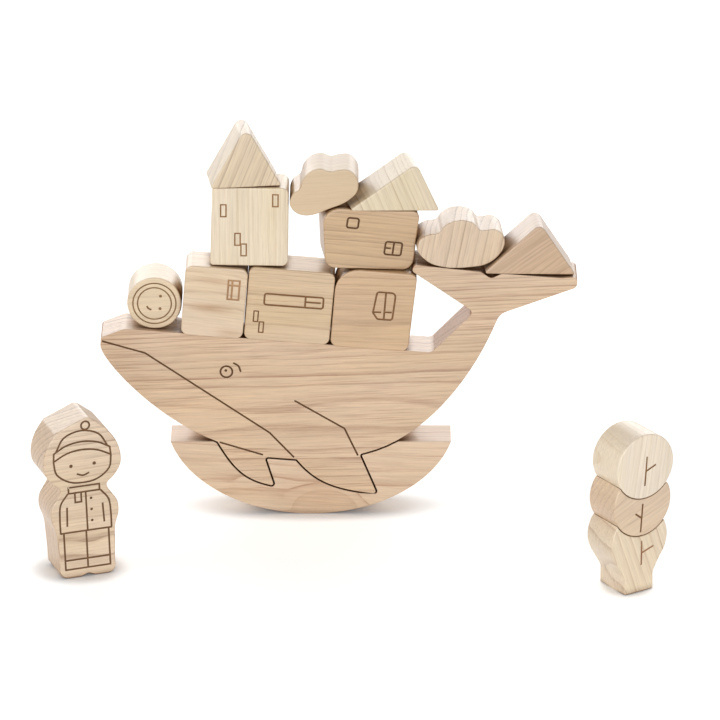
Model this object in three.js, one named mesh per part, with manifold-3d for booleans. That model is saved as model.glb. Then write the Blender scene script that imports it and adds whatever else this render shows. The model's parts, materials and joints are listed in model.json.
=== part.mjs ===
// Wooden balance game: a whale that stands on a rocker and carries a small town of blocks.
// Millimetres, +Z up, +X towards the tail, -Y towards the viewer. The origin is on the table,
// under the rocker's lowest line and in the middle of the board's thickness.
import * as THREE from 'three';
import { mergeVertices } from 'three/addons/utils/BufferGeometryUtils.js';
import Module from 'manifold-3d';

const wasm = await Module();
wasm.setup();

// Board, fits and engraving
const BOARD = 30; // thickness of the ash board that every piece is sawn from
const REST_GAP = 0.3; // gap left between pieces that rest on each other
const LEAN_GAP = 0.75; // level gap between pieces that lean on each other
const SOCKET_GAP = 1.2; // saw gap between the fins and their sockets in the rocker
const ENGRAVE_WIDTH = 1.3;
const FINE_WIDTH = 0.95; // engraved lines of the small windows and of the sun
const ENGRAVE_DEPTH = 0.8;
const TOWER_PANE_WIDTH = 3.7; // small windows
const TOWER_PANE_HEIGHT = 8.75;
const HOUSE_PANE_WIDTH = 3.05;
const HOUSE_PANE_HEIGHT = 7.8;
const PANE_STEP = 4.25; // in a pair, the right window stands this far to the right
const PANE_DROP = 7.8; // and this far down
const BAR_BREAK = 1.7; // where a window's crossbar stops short of the next line
const UPPER_WINDOW_SLANT = THREE.MathUtils.degToRad(3.5); // of the upper house's windows
const SOFT_CORNER = 1.5; // corner radius of the wide windows

// Rocker: the lower part of an ellipse, cut off flat at the top
const ROCKER_HALF_LENGTH = 101.5; // half-axis along the table
const ROCKER_CURVE_DEPTH = 73; // half-axis upwards
const ROCKER_HEIGHT = 55;
const FIN_FLOOR = 15.5; // height of the fin tips above the table

// Whale, measured along its deck from the end of the nose chamfer, and square to the deck
const DECK_SETBACK = 130; // start of the deck, left of the rocker's lowest line
const DECK_SLOPE = THREE.MathUtils.degToRad(4.75);
const NOSE_LENGTH = 15.5;
const CHIN_DEPTH = 13.5;
const BELLY_DEPTH = 88.5; // deck to the belly between the fins
const FIN_DEPTH = 110; // deck to the fin tips
const FRONT_FIN = 71; // start of the front fin, along the deck
const FRONT_FIN_LENGTH = 42.6;
const REAR_FIN = 127.8;
const REAR_FIN_LENGTH = 58.4;
const NECK_HEIGHT = 32.7; // deck to the bend under the tail
const NECK_SETBACK = 41.6; // that bend, behind the row of houses
const NECK_THICKNESS = 18;
const FLUKE_LAP = 4; // tail tip that reaches back over the last house
const FLUKE_RISE = 6.2; // top of the tail over the last house's top
const FLUKE_LEFT_TIP = 5; // thickness of the tail's left tip
const FLUKE_RIGHT_TIP = 7.8;
const FLUKE_REACH = 2.4; // right tip, past the end of the roof on it
const FLUKE_LEFT_SLOPE = THREE.MathUtils.degToRad(-1.8); // against the deck
const FLUKE_RIGHT_SLOPE = THREE.MathUtils.degToRad(2);
const FLUKE_HOLLOW = 1.4; // dip in the right lobe's top, just before its tip
const FLUKE_HOLLOW_SETBACK = 9; // from the end of the roof on it
const CLEFT_WIDTH = 14.4;
const CLEFT_DEPTH = 4.5;
const EYE_SETBACK = 73.6;
const EYE_DEPTH = 26.2;
const EYE_RADIUS = 4.2;

// Row on the deck
const ROW_INSET = 0.9; // sun to the start of the deck
const SUN_DIAMETER = 38;
const SUN_SETBACK = 3.6; // the sun stands this far back from the whale's face
const LEFT_HOUSE_WIDTH = 43.5;
const LEFT_HOUSE_HEIGHT = 51.6;
const LEFT_HOUSE_FORWARD = 3.2; // a house stands this far out from the whale's face
const MIDDLE_HOUSE_WIDTH = 60.3;
const MIDDLE_HOUSE_HEIGHT = 53.7;
const MIDDLE_HOUSE_FORWARD = 2.2;
const RIGHT_HOUSE_WIDTH = 56.3;
const RIGHT_HOUSE_HEIGHT = 57.8;
const RIGHT_HOUSE_FORWARD = 3;
const RIGHT_HOUSE_SHOULDER = 16; // radius of its high left corner
const HOUSE_FLARE = 0.4; // a house is this much wider at the top, on its right
const RIGHT_HOUSE_FLARE = 2;
const HOUSE_CORNER = 5;

// Upper storey
const TOWER_WIDTH = 54;
const TOWER_HEIGHT = 57.7;
const TOWER_TAPER = 1.2; // the tower's left side leans in by this much
const TOWER_CORNER = 4.5;
const TOWER_ROOF_WIDTH = 50;
const TOWER_ROOF_HEIGHT = 44.8; // to the sharp ridge, which is then rounded
const TOWER_ROOF_RIDGE = 25; // ridge, from the roof's left end
const TOWER_ROOF_OVERHANG = 3.7; // its left end, past the tower's left side
const TOWER_ROOF_YAW = THREE.MathUtils.degToRad(8);
const UPPER_HOUSE_WIDTH = 61; // at its foot
const UPPER_HOUSE_HEIGHT = 44;
const UPPER_HOUSE_INSET = 5.2; // its right side, in from the last house's right side
const UPPER_HOUSE_LEAN = 5.5; // its left side leans out by this much
const UPPER_HOUSE_FLARE = 1.6; // and its right side by this much
const UPPER_HOUSE_FOOT = 8; // radius of its low corners
const UPPER_HOUSE_SHOULDER = 11; // radius of its high left corner
const UPPER_HOUSE_YAW = THREE.MathUtils.degToRad(7);
const UPPER_ROOF_WIDTH = 65;
const UPPER_ROOF_HEIGHT = 35;
const UPPER_ROOF_RIDGE = 45.5;
const UPPER_ROOF_OVERHANG = 14.3; // its right end, past the house under it
const UPPER_ROOF_YAW = THREE.MathUtils.degToRad(13);
const CLOUD_WIDTH = 50.8;
const CLOUD_HEIGHT = 31;
const CLOUD_TILT = THREE.MathUtils.degToRad(27);
const CLOUD_PITCH = THREE.MathUtils.degToRad(3.3); // its back lies higher than its front
const CLOUD_FORWARD = 1; // towards the viewer

// Blocks on the tail
const BUSH_WIDTH = 61;
const BUSH_HEIGHT = 35;
const BUSH_YAW = THREE.MathUtils.degToRad(4);
const TAIL_ROOF_WIDTH = 64.8;
const TAIL_ROOF_HEIGHT = 37.9;
const TAIL_ROOF_RIDGE = 37.7;
const TAIL_ROOF_YAW = THREE.MathUtils.degToRad(5);
const ROOF_CORNER = 1.2; // radius of a roof's two ends
const RIDGE_RADIUS = 5;

// Pieces that stand beside the whale
const CHILD_WIDTH = 55.6;
const CHILD_HEIGHT = 118.7;
const CHILD_SWAY = 4.2; // its head leans to the left of its feet
const CHILD_X = -159.5; // middle of its height, over the table
const CHILD_Y = -109.6;
const CHILD_YAW = THREE.MathUtils.degToRad(20.5);
const TREE_TOP_DIAMETER = 46.8;
const TREE_MIDDLE_DIAMETER = 47.4;
const TREE_BASE_DIAMETER = 46.2;
const TREE_STEP = 27; // from one crown's middle to the next
const TREE_LEAN = THREE.MathUtils.degToRad(4); // of the upper crowns, to the right
const TREE_BASE_RISE = 38.5; // middle of the lowest crown above the table
const TREE_STEM_WIDTH = 23.5;
const TREE_STEM_HEIGHT = 13;
const TREE_X = 217.2; // middle of its foot on the table
const TREE_Y = -137.6;
const TREE_YAW = THREE.MathUtils.degToRad(33);

// Outlines are lists of Vector2: x along the face, y up it. A corner may carry a radius.
const CORNER_STEPS = 7;
const CURVE_STEPS = 16;
const CIRCLE_STEPS = 56;

function corner(x, y, radius = 0) {
  return { x, y, radius };
}

// Turns a list of corners into an outline, with an arc at each corner that has a radius.
function roundedOutline(corners) {
  const outline = [];
  corners.forEach((point, i) => {
    const here = new THREE.Vector2(point.x, point.y);
    if (!point.radius) {
      outline.push(here);
      return;
    }
    const before = corners[(i + corners.length - 1) % corners.length];
    const after = corners[(i + 1) % corners.length];
    const back = new THREE.Vector2(before.x, before.y).sub(here);
    const forth = new THREE.Vector2(after.x, after.y).sub(here);
    const half = Math.acos(back.dot(forth) / (back.length() * forth.length())) / 2;
    const wall = Math.min(back.length(), forth.length()) * 0.48;
    const radius = Math.min(point.radius, wall * Math.tan(half));
    const middle = back.clone().normalize().add(forth.clone().normalize());
    const centre = here.clone().add(middle.setLength(radius / Math.sin(half)));
    const start = here.clone().add(back.setLength(radius / Math.tan(half))).sub(centre);
    const end = here.clone().add(forth.setLength(radius / Math.tan(half))).sub(centre);
    const turn = Math.atan2(start.cross(end), start.dot(end));
    for (let step = 0; step <= CORNER_STEPS; step += 1) {
      const spoke = start.clone().rotateAround(new THREE.Vector2(), (turn * step) / CORNER_STEPS);
      outline.push(spoke.add(centre));
    }
  });
  return outline;
}

function bezier(...handles) {
  const points = handles.map(([x, y]) => new THREE.Vector2(x, y));
  return new THREE.CubicBezierCurve(...points).getPoints(CURVE_STEPS);
}

function arc(x, y, radius, from, to, steps = CIRCLE_STEPS) {
  return new THREE.EllipseCurve(x, y, radius, radius, from, to, to < from).getPoints(steps);
}

function circle(x, y, radius, steps = CIRCLE_STEPS) {
  return arc(x, y, radius, 0, 2 * Math.PI, steps).slice(0, -1);
}

// A smooth line through the given points.
function smooth(points, closed = false, stepsPerPoint = 5) {
  const through = points.map(([x, y]) => new THREE.Vector3(x, y, 0));
  const curve = new THREE.CatmullRomCurve3(through, closed, 'centripetal');
  const count = stepsPerPoint * (closed ? points.length : points.length - 1);
  const along = curve.getPoints(count).map((p) => new THREE.Vector2(p.x, p.y));
  return closed ? along.slice(0, -1) : along;
}

function segments(outline, closed) {
  return outline.slice(0, closed ? outline.length : -1).map((a, i) => {
    return outline[(i + 1) % outline.length].clone().sub(a).normalize();
  });
}

// Moves every point of a line sideways, to the right of its direction.
function offsetLine(line, distance, closed) {
  const ways = segments(line, closed);
  return line.map((point, i) => {
    const into = ways[closed ? (i + ways.length - 1) % ways.length : Math.max(i - 1, 0)];
    const out = ways[closed ? i : Math.min(i, ways.length - 1)];
    const side = into.clone().add(out).normalize();
    const mitre = distance / Math.max(side.dot(into), 0.4);
    return new THREE.Vector2(point.x + side.y * mitre, point.y - side.x * mitre);
  });
}

function grow(outline, distance) {
  const sign = THREE.ShapeUtils.isClockWise(outline) ? -1 : 1;
  return offsetLine(outline, sign * distance, true);
}

function placed(outline, place) {
  const origin = new THREE.Vector2();
  return outline.map((p) => {
    return p.clone().rotateAround(origin, place.angle).add(new THREE.Vector2(place.x, place.z));
  });
}

// Lowest and highest crossing of an outline with the line on which one coordinate has a value.
function reach(outline, axis, value) {
  const other = axis === 'x' ? 'y' : 'x';
  const hits = [];
  outline.forEach((a, i) => {
    const b = outline[(i + 1) % outline.length];
    const apart = (a[axis] - value) * (b[axis] - value) > 0;
    if (apart || a[axis] === b[axis]) {
      return;
    }
    hits.push(a[other] + ((value - a[axis]) / (b[axis] - a[axis])) * (b[other] - a[other]));
  });
  return hits.length ? { low: Math.min(...hits), high: Math.max(...hits) } : null;
}

// Least distance along an axis from one outline to the outline that lies beyond it.
function gapAlong(axis, first, beyond) {
  const across = axis === 'x' ? 'y' : 'x';
  let gap = Infinity;
  for (const point of [...first, ...beyond]) {
    const near = reach(first, across, point[across]);
    const far = reach(beyond, across, point[across]);
    if (near && far) {
      gap = Math.min(gap, far.low - near.high);
    }
  }
  return gap;
}

// Line on which a flat base comes to rest. Two points carry the base, one on either side of its
// middle, and they are the two whose joining line is highest under the middle.
function restLine(supports, from, to, middle) {
  const points = [];
  for (const outline of supports) {
    points.push(...outline.filter((p) => p.x > from && p.x < to));
    for (const x of [from, to]) {
      const crossing = reach(outline, 'x', x);
      if (crossing) {
        points.push(new THREE.Vector2(x, crossing.high));
      }
    }
  }
  let line = { height: -Infinity, angle: 0 };
  for (const a of points.filter((p) => p.x < middle)) {
    for (const b of points.filter((p) => p.x >= middle)) {
      const height = a.y + ((middle - a.x) / (b.x - a.x)) * (b.y - a.y);
      if (height > line.height) {
        line = { height, angle: Math.atan2(b.y - a.y, b.x - a.x) };
      }
    }
  }
  return line;
}

// Solids: an outline sawn out of the board, and the grooves engraved in its front face.
function sawn(outline, holes = [], depth = BOARD, front = -BOARD / 2) {
  const shape = new THREE.Shape(outline);
  shape.holes = holes.map((hole) => new THREE.Path(hole));
  const geometry = new THREE.ExtrudeGeometry(shape, { depth, bevelEnabled: false });
  geometry.rotateX(Math.PI / 2);
  return geometry.translate(0, front + depth, 0);
}

function toSolid(geometry) {
  const bare = geometry.clone();
  bare.deleteAttribute('normal');
  bare.deleteAttribute('uv');
  const merged = mergeVertices(bare);
  const vertProperties = new Float32Array(merged.attributes.position.array);
  const triVerts = new Uint32Array(merged.index.array);
  return new wasm.Manifold(new wasm.Mesh({ numProp: 3, vertProperties, triVerts }));
}

function toGeometry(solid) {
  const mesh = solid.getMesh();
  const geometry = new THREE.BufferGeometry();
  geometry.setAttribute('position', new THREE.BufferAttribute(mesh.vertProperties, 3));
  geometry.setIndex(new THREE.BufferAttribute(mesh.triVerts, 1));
  geometry.computeVertexNormals();
  return geometry;
}

function groove(outline, holes = []) {
  return sawn(outline, holes, 2 * ENGRAVE_DEPTH, -BOARD / 2 - ENGRAVE_DEPTH);
}

// A line of the engraver's width along the given points.
function stroke(...points) {
  const path = points.map((p) => (p.isVector2 ? p : new THREE.Vector2(...p)));
  const right = offsetLine(path, ENGRAVE_WIDTH / 2, false);
  const left = offsetLine(path, -ENGRAVE_WIDTH / 2, false);
  return groove([...right, ...left.reverse()]);
}

// The same line round a closed outline.
function loop(outline, width = ENGRAVE_WIDTH) {
  return groove(grow(outline, width / 2), [grow(outline, -width / 2)]);
}

function dot(x, y, radius) {
  return groove(circle(x, y, radius, 10));
}

// A window, by its lower left corner. Its own corners may be soft.
function casement({ x, y, width, height, soft = 0, line = ENGRAVE_WIDTH }) {
  const outline = roundedOutline([
    corner(x, y, soft),
    corner(x + width, y, soft),
    corner(x + width, y + height, soft),
    corner(x, y + height, soft),
  ]);
  return loop(outline, line);
}

// The small window that recurs on the tower and on the middle house, alone or as a stepped pair.
function pane(x, y, width, height) {
  return casement({ x, y, width, height, line: FINE_WIDTH });
}

function panePair(x, y, width, height) {
  return [pane(x, y, width, height), pane(x + PANE_STEP, y - PANE_DROP, width, height)];
}

function engraved(geometry, marks) {
  let solid = toSolid(geometry);
  for (const mark of marks) {
    solid = solid.subtract(toSolid(mark));
  }
  return toGeometry(solid);
}

function piece(name, geometry, colour) {
  const material = new THREE.MeshStandardMaterial({ color: colour, roughness: 0.62, metalness: 0 });
  const mesh = new THREE.Mesh(geometry, material);
  mesh.name = name;
  return mesh;
}

function setDown(mesh, place) {
  mesh.position.set(place.x, -(place.forward ?? 0), place.z);
  mesh.rotation.set(place.pitch ?? 0, -place.angle, place.yaw ?? 0);
  return mesh;
}

// Row on the deck, from the nose to the tail. Every place is in the deck's own frame.
const sunPlace = {
  x: ROW_INSET + SUN_DIAMETER / 2,
  z: SUN_DIAMETER / 2 + REST_GAP,
  angle: 0,
  forward: -SUN_SETBACK,
};
const sunOutline = circle(0, 0, SUN_DIAMETER / 2);

function houseOutline(width, height, flare, shoulder) {
  return roundedOutline([
    corner(0, 0, HOUSE_CORNER),
    corner(width - flare, 0, HOUSE_CORNER),
    corner(width, height, HOUSE_CORNER),
    corner(0, height, shoulder),
  ]);
}

const leftHouseOutline = houseOutline(LEFT_HOUSE_WIDTH, LEFT_HOUSE_HEIGHT, HOUSE_FLARE, HOUSE_CORNER);
const middleHouseOutline = houseOutline(
  MIDDLE_HOUSE_WIDTH,
  MIDDLE_HOUSE_HEIGHT,
  HOUSE_FLARE,
  HOUSE_CORNER,
);
const rightHouseOutline = houseOutline(
  RIGHT_HOUSE_WIDTH,
  RIGHT_HOUSE_HEIGHT,
  RIGHT_HOUSE_FLARE,
  RIGHT_HOUSE_SHOULDER,
);

function inRow(x, forward) {
  return { x, z: REST_GAP, angle: 0, forward };
}

const leftHousePlace = inRow(sunPlace.x + SUN_DIAMETER / 2 + LEAN_GAP, LEFT_HOUSE_FORWARD);
const middleHousePlace = inRow(leftHousePlace.x + LEFT_HOUSE_WIDTH + REST_GAP, MIDDLE_HOUSE_FORWARD);
const rightHousePlace = inRow(middleHousePlace.x + MIDDLE_HOUSE_WIDTH + REST_GAP, RIGHT_HOUSE_FORWARD);
const rowEnd = rightHousePlace.x + RIGHT_HOUSE_WIDTH;
const rowTop = rightHousePlace.z + RIGHT_HOUSE_HEIGHT;

const leftHouseInRow = placed(leftHouseOutline, leftHousePlace);
const middleHouseInRow = placed(middleHouseOutline, middleHousePlace);
const rightHouseInRow = placed(rightHouseOutline, rightHousePlace);

// Tower, astride the seam between the left and the middle house
const towerOutline = roundedOutline([
  corner(-TOWER_WIDTH / 2, 0, TOWER_CORNER / 2),
  corner(TOWER_WIDTH / 2, 0, TOWER_CORNER),
  corner(TOWER_WIDTH / 2, TOWER_HEIGHT, TOWER_CORNER),
  corner(-TOWER_WIDTH / 2 + TOWER_TAPER, TOWER_HEIGHT, TOWER_CORNER / 2),
]);
const seam = middleHousePlace.x - REST_GAP / 2;
const towerRest = restLine(
  [leftHouseInRow, middleHouseInRow],
  seam - TOWER_WIDTH / 2 + TOWER_CORNER / 2,
  seam + TOWER_WIDTH / 2 - TOWER_CORNER,
  seam,
);
const towerPlace = { x: seam, z: towerRest.height + REST_GAP, angle: towerRest.angle };

// A roof is a triangle. Its outline is centred on its base, so that it turns about the middle.
function roofOutline(width, height, ridge) {
  return roundedOutline([
    corner(-width / 2, 0, ROOF_CORNER),
    corner(width / 2, 0, ROOF_CORNER),
    corner(ridge - width / 2, height, RIDGE_RADIUS),
  ]);
}

// Where something stands on top of a block: along its top from its left end, and REST_GAP over it.
function onTop(place, along, height) {
  const spot = new THREE.Vector2(along, height + REST_GAP).rotateAround(new THREE.Vector2(), place.angle);
  return { x: place.x + spot.x, z: place.z + spot.y, angle: place.angle };
}

const towerRoofOutline = roofOutline(TOWER_ROOF_WIDTH, TOWER_ROOF_HEIGHT, TOWER_ROOF_RIDGE);
const towerRoofMiddle = -TOWER_WIDTH / 2 + TOWER_TAPER - TOWER_ROOF_OVERHANG + TOWER_ROOF_WIDTH / 2;
const towerRoofPlace = {
  ...onTop(towerPlace, towerRoofMiddle, TOWER_HEIGHT),
  yaw: TOWER_ROOF_YAW,
};

// Upper house, on the right house, with its roof
const upperHouseOutline = roundedOutline([
  corner(-UPPER_HOUSE_WIDTH / 2, 0, UPPER_HOUSE_FOOT),
  corner(UPPER_HOUSE_WIDTH / 2, 0, UPPER_HOUSE_FOOT),
  corner(UPPER_HOUSE_WIDTH / 2 + UPPER_HOUSE_FLARE, UPPER_HOUSE_HEIGHT, HOUSE_CORNER),
  corner(-UPPER_HOUSE_WIDTH / 2 - UPPER_HOUSE_LEAN, UPPER_HOUSE_HEIGHT, UPPER_HOUSE_SHOULDER),
]);
const upperHouseMiddle = rowEnd - UPPER_HOUSE_INSET - UPPER_HOUSE_WIDTH / 2;
const upperHouseRest = restLine(
  [middleHouseInRow, rightHouseInRow],
  upperHouseMiddle - UPPER_HOUSE_WIDTH / 2 + UPPER_HOUSE_FOOT,
  upperHouseMiddle + UPPER_HOUSE_WIDTH / 2 - UPPER_HOUSE_FOOT,
  upperHouseMiddle,
);
const upperHousePlace = {
  x: upperHouseMiddle,
  z: upperHouseRest.height + REST_GAP,
  angle: upperHouseRest.angle,
  yaw: UPPER_HOUSE_YAW,
};

const upperRoofOutline = roofOutline(UPPER_ROOF_WIDTH, UPPER_ROOF_HEIGHT, UPPER_ROOF_RIDGE);
const upperRoofMiddle = UPPER_HOUSE_WIDTH / 2 + UPPER_ROOF_OVERHANG - UPPER_ROOF_WIDTH / 2;
const upperRoofPlace = {
  ...onTop(upperHousePlace, upperRoofMiddle, UPPER_HOUSE_HEIGHT),
  yaw: UPPER_ROOF_YAW,
};

// Cloud and bush: outlines in shares of their width and height
function puffOutline(width, height, shares) {
  return smooth(shares.map(([u, v]) => [(u - 0.5) * width, v * height]), true);
}

const cloudOutline = puffOutline(CLOUD_WIDTH, CLOUD_HEIGHT, [
  [0.0, 0.42], [0.05, 0.16], [0.19, 0.02], [0.45, 0.0], [0.74, 0.02], [0.93, 0.16], [1.0, 0.45],
  [0.95, 0.7], [0.83, 0.79], [0.7, 0.83], [0.6, 0.97], [0.45, 1.0], [0.31, 0.88], [0.22, 0.7],
  [0.1, 0.64],
]);

// A turned piece reaches further left at its back, and a pitched one higher, so its outline is taken
// at its back and at its front.
function bothFaces(outline, place) {
  const yaw = place.yaw ?? 0;
  const sway = (BOARD / 2) * Math.sin(yaw);
  const rise = (BOARD / 2) * Math.sin(place.pitch ?? 0);
  return [1, -1].map((end) => {
    const turned = outline.map(({ x, y }) => new THREE.Vector2(x * Math.cos(yaw) - end * sway, y));
    return placed(turned, { ...place, z: place.z + end * rise });
  });
}

// Least gap from one piece to the piece beyond it, back against back and front against front.
function gapBetween(axis, faces, beyond) {
  return Math.min(...faces.map((face, i) => gapAlong(axis, face, beyond[i])));
}

// Pushes a block against walls on its left and lets it down on floors.
function letDown(outline, place, walls, floors, floorGap) {
  const settled = { ...place };
  for (let round = 0; round < 3; round += 1) {
    const standing = bothFaces(outline, settled);
    settled.x -= Math.min(...walls.map((wall) => gapBetween('x', wall, standing))) - LEAN_GAP;
    const pushed = bothFaces(outline, settled);
    settled.z -= Math.min(...floors.map((floor) => gapBetween('y', floor, pushed))) - floorGap;
  }
  return settled;
}

const cloudStart = {
  x: towerPlace.x + TOWER_WIDTH,
  z: upperRoofPlace.z,
  angle: CLOUD_TILT,
  pitch: CLOUD_PITCH,
};
const towerFaces = bothFaces(towerOutline, towerPlace);
const towerRoofFaces = bothFaces(towerRoofOutline, towerRoofPlace);
const upperHouseFaces = bothFaces(upperHouseOutline, upperHousePlace);
const upperRoofFaces = bothFaces(upperRoofOutline, upperRoofPlace);
const cloudPlace = {
  ...letDown(
    cloudOutline,
    cloudStart,
    [towerFaces, towerRoofFaces],
    [upperHouseFaces, upperRoofFaces],
    LEAN_GAP,
  ),
  forward: CLOUD_FORWARD,
};

// Tail: the left lobe carries the bush, the right lobe its own roof
const leftLobeStart = new THREE.Vector2(rowEnd - FLUKE_LAP + 1, rowTop + FLUKE_RISE);

function alongLobe(start, slope, distance) {
  return new THREE.Vector2(start.x + distance, start.y + distance * Math.tan(slope));
}

const bushOutline = puffOutline(BUSH_WIDTH, BUSH_HEIGHT, [
  [0.0, 0.4], [0.03, 0.6], [0.13, 0.71], [0.25, 0.75], [0.31, 0.88], [0.41, 0.98], [0.53, 1.0],
  [0.65, 0.93], [0.72, 0.79], [0.78, 0.78], [0.88, 0.8], [0.97, 0.7], [1.0, 0.5], [0.95, 0.27],
  [0.81, 0.07], [0.58, 0.0], [0.33, 0.01], [0.13, 0.13],
]);
const leftLobeTop = [leftLobeStart, alongLobe(leftLobeStart, FLUKE_LEFT_SLOPE, 2 * BUSH_WIDTH)];
const leftLobeFaces = [leftLobeTop, leftLobeTop];
const bushStart = {
  x: rowEnd + BUSH_WIDTH / 2,
  z: leftLobeStart.y,
  angle: DECK_SLOPE,
  yaw: BUSH_YAW,
};
const bushPlace = letDown(
  bushOutline,
  bushStart,
  [upperHouseFaces, upperRoofFaces],
  [leftLobeFaces],
  REST_GAP,
);
const bushFaces = bothFaces(bushOutline, bushPlace);

// The cleft starts under the left end of the tail's roof, which is pushed up against the bush.
const tailRoofOutline = roofOutline(TAIL_ROOF_WIDTH, TAIL_ROOF_HEIGHT, TAIL_ROOF_RIDGE);

function tailAt(roofX) {
  const cleftX = roofX - TAIL_ROOF_WIDTH / 2;
  const cleftStart = alongLobe(leftLobeStart, FLUKE_LEFT_SLOPE, cleftX - leftLobeStart.x);
  const rightLobeStart = new THREE.Vector2(cleftX + CLEFT_WIDTH, cleftStart.y);
  const seat = alongLobe(rightLobeStart, FLUKE_RIGHT_SLOPE, roofX - rightLobeStart.x);
  const roofPlace = {
    x: roofX,
    z: seat.y + REST_GAP,
    angle: FLUKE_RIGHT_SLOPE,
    yaw: TAIL_ROOF_YAW,
  };
  const end = alongLobe(seat, FLUKE_RIGHT_SLOPE, TAIL_ROOF_WIDTH / 2);
  return { cleftStart, rightLobeStart, roofPlace, end };
}

let tail = tailAt(bushPlace.x + BUSH_WIDTH / 2 + TAIL_ROOF_WIDTH);
for (let round = 0; round < 3; round += 1) {
  const roofFaces = bothFaces(tailRoofOutline, tail.roofPlace);
  const slack = gapBetween('x', bushFaces, roofFaces) - LEAN_GAP;
  tail = tailAt(tail.roofPlace.x - slack);
}

// Whale, as one outline: nose, belly, two fins, neck and tail, and back along the deck
const neckX = rowEnd + NECK_SETBACK;
const frontFinTip = FRONT_FIN + FRONT_FIN_LENGTH;
const rearFinTip = REAR_FIN + REAR_FIN_LENGTH;
const hollow = alongLobe(tail.end, FLUKE_RIGHT_SLOPE, -FLUKE_HOLLOW_SETBACK);
const whaleOutline = roundedOutline([
  corner(0, 0, 8),
  corner(-NOSE_LENGTH, -NOSE_LENGTH / 2, 2),
  ...bezier(
    [-NOSE_LENGTH, -CHIN_DEPTH],
    [-NOSE_LENGTH - 0.3, -CHIN_DEPTH - 9],
    [FRONT_FIN - 46.5, -BELLY_DEPTH + 23.5],
    [FRONT_FIN, -BELLY_DEPTH + 9],
  ),
  ...bezier(
    [FRONT_FIN + 0.5, -BELLY_DEPTH + 8.7],
    [FRONT_FIN + 11, -BELLY_DEPTH - 6.5],
    [frontFinTip - 24, -FIN_DEPTH + 4],
    [frontFinTip - 5, -FIN_DEPTH + 0.9],
  ),
  corner(frontFinTip, -FIN_DEPTH, 3),
  corner(frontFinTip - 8.6, -BELLY_DEPTH, 2),
  ...bezier(
    [REAR_FIN, -BELLY_DEPTH],
    [REAR_FIN + 12, -BELLY_DEPTH - 13],
    [rearFinTip - 35, -FIN_DEPTH + 1.5],
    [rearFinTip - 6, -FIN_DEPTH + 0.3],
  ),
  corner(rearFinTip, -FIN_DEPTH, 3),
  corner(rearFinTip - 14.8, -BELLY_DEPTH + 7.6, 2),
  ...bezier(
    [rearFinTip - 11, -BELLY_DEPTH + 9],
    [rearFinTip + 30, -BELLY_DEPTH + 23.5],
    [neckX + 2, -18],
    [neckX + NECK_THICKNESS - 3.5, NECK_HEIGHT - 11],
  ),
  corner(neckX + NECK_THICKNESS, NECK_HEIGHT, 11),
  corner(tail.end.x + FLUKE_REACH, tail.end.y - FLUKE_RIGHT_TIP, 4),
  corner(tail.end.x + FLUKE_REACH, tail.end.y, 3),
  corner(hollow.x, hollow.y - FLUKE_HOLLOW, 20),
  corner(tail.rightLobeStart.x, tail.rightLobeStart.y, 3),
  corner(tail.cleftStart.x + CLEFT_WIDTH / 2, tail.cleftStart.y - CLEFT_DEPTH, 4),
  corner(tail.cleftStart.x, tail.cleftStart.y, 3),
  corner(leftLobeStart.x, leftLobeStart.y, 3),
  corner(rowEnd - FLUKE_LAP, leftLobeStart.y - FLUKE_LEFT_TIP, 2.5),
  corner(neckX, NECK_HEIGHT, 3.5),
  corner(rowEnd + NECK_SETBACK / 2.8, 0, 6),
]);

// Its drawing: the jaw, the fins' edges, and an eye with a brow
const jaw = [
  [0.9 - NOSE_LENGTH, -10.4],
  [15.9, -16.8],
  [REAR_FIN - 20.6, -BELLY_DEPTH + 18.8],
  [REAR_FIN - 2, -BELLY_DEPTH + 1.5],
];
const frontFinEdge = [[FRONT_FIN + 1.8, -BELLY_DEPTH + 8.7], [frontFinTip - 9.7, -BELLY_DEPTH + 1.6]];
const rearFinEdge = [
  [REAR_FIN - 5.1, -BELLY_DEPTH + 44.5],
  [rearFinTip - 26.9, -BELLY_DEPTH + 26.3],
  [rearFinTip - 15.8, -BELLY_DEPTH + 6.6],
];
const brow = [[4.2, 7], [8, 5], [10, 0.7]].map(([x, y]) => [EYE_SETBACK + x, y - EYE_DEPTH]);
const whaleMarks = [
  stroke(...jaw),
  stroke(...frontFinEdge),
  stroke(...rearFinEdge),
  loop(circle(EYE_SETBACK, -EYE_DEPTH, EYE_RADIUS, 24)),
  dot(EYE_SETBACK - 0.5, 0.9 - EYE_DEPTH, 1),
  stroke(...smooth(brow)),
];

// The whale is as high as its fins' tips ask, and the whole deck group is turned by the deck's slope.
const whaleTurned = placed(whaleOutline, { x: -DECK_SETBACK, z: 0, angle: -DECK_SLOPE });
const deckHeight = FIN_FLOOR - Math.min(...whaleTurned.map((p) => p.y));
const whaleOnRocker = whaleTurned.map((p) => new THREE.Vector2(p.x, p.y + deckHeight));

const deck = new THREE.Group();
deck.position.set(-DECK_SETBACK, 0, deckHeight);
deck.rotation.y = DECK_SLOPE;
deck.add(piece('whale_body', engraved(sawn(whaleOutline), whaleMarks), 0xd2ae86));

// Rocker, with the sockets that the fins stand in. The rear fin's tip rests on its socket's floor.
const chordAngle = Math.asin((ROCKER_CURVE_DEPTH - ROCKER_HEIGHT) / ROCKER_CURVE_DEPTH);
const rockerOutline = new THREE.EllipseCurve(
  0,
  ROCKER_CURVE_DEPTH,
  ROCKER_HALF_LENGTH,
  ROCKER_CURVE_DEPTH,
  Math.PI + chordAngle,
  2 * Math.PI - chordAngle,
).getPoints(2 * CIRCLE_STEPS);
const socketFloor = FIN_FLOOR - REST_GAP;
const socketOutline = grow(whaleOnRocker, SOCKET_GAP).map((p) => {
  return new THREE.Vector2(p.x, Math.max(p.y, socketFloor));
});
const socketCut = sawn(socketOutline, [], 2 * BOARD, -BOARD);
const rockerSolid = toSolid(sawn(rockerOutline)).subtract(toSolid(socketCut));
const rocker = piece('rocker_base', toGeometry(rockerSolid), 0xdcbd94);

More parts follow.
